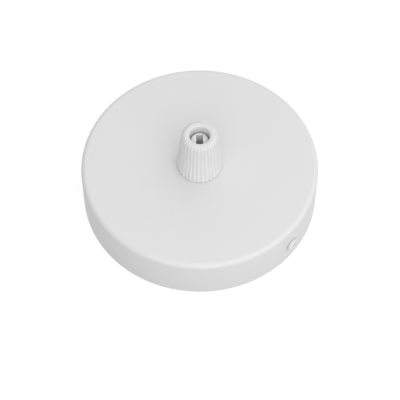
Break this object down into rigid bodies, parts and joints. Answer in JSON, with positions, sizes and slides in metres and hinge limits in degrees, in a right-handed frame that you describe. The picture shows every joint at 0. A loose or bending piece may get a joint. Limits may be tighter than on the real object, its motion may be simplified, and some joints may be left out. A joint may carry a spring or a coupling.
{
  "type": "ceiling rose",
  "caption": "Shallow round white steel ceiling rose with a ribbed conical cord grip, side screws, a folded ceiling bracket and a terminal block, for hanging a pendant flex.",
  "frame": {"origin": "centre of the rim, in the ceiling plane", "axes": "+Z away from the ceiling, along the cord; X along the bracket and the side screws"},
  "size_m": [0.1234, 0.12, 0.051],
  "materials": {
    "white_paint": "satin powder coat",
    "white_screw": "satin paint",
    "white_plastic": "moulded satin",
    "zinc_steel": "zinc plated",
    "terminal_plastic": "moulded polyamide",
    "brass": "drawn bar, drilled"
  },
  "bodies": {
    "base": {"canopy": "white_paint", "mounting_bracket": "zinc_steel", "grip_stem": "white_plastic", "stem_lock_washer": "zinc_steel", "stem_nut": "zinc_steel", "terminal_housing": "terminal_plastic", "earth_clamp_washer": "zinc_steel", "earth_lock_washer": "zinc_steel", "earth_screw": "zinc_steel", "terminal_sleeve_live": "brass", "terminal_screw_live_inner": "zinc_steel", "terminal_screw_live_outer": "zinc_steel", "terminal_sleeve_earth": "brass", "terminal_screw_earth_inner": "zinc_steel", "terminal_screw_earth_outer": "zinc_steel", "terminal_sleeve_neutral": "brass", "terminal_screw_neutral_inner": "zinc_steel", "terminal_screw_neutral_outer": "zinc_steel", "terminal_fixing_screw_left": "zinc_steel", "terminal_fixing_screw_right": "zinc_steel"},
    "collet": {"grip_collet": "white_plastic"},
    "cap": {"grip_cap": "white_plastic"},
    "right_screw": {"side_screw_right": "white_screw"},
    "left_screw": {"side_screw_left": "white_screw"}
  },
  "joints": [
    {"name": "cap_rise", "type": "slide", "parent": "base", "child": "collet", "axis": [0, 0, 1], "range_m": [0, 0.009]},
    {"name": "cap_turn", "type": "hinge", "parent": "collet", "child": "cap", "pos_m": [0, 0, 0.025], "axis": [0, 0, 1], "range_deg": [0, 2160]},
    {"name": "right_screw_travel", "type": "slide", "parent": "base", "child": "right_screw", "axis": [1, 0, 0], "range_m": [0, 0.006]},
    {"name": "left_screw_travel", "type": "slide", "parent": "base", "child": "left_screw", "axis": [-1, 0, 0], "range_m": [0, 0.006]}
  ],
  "couplings": [
    {"joint": "cap_rise", "follows": "cap_turn", "m_per_rad": 0.00023873}
  ]
}
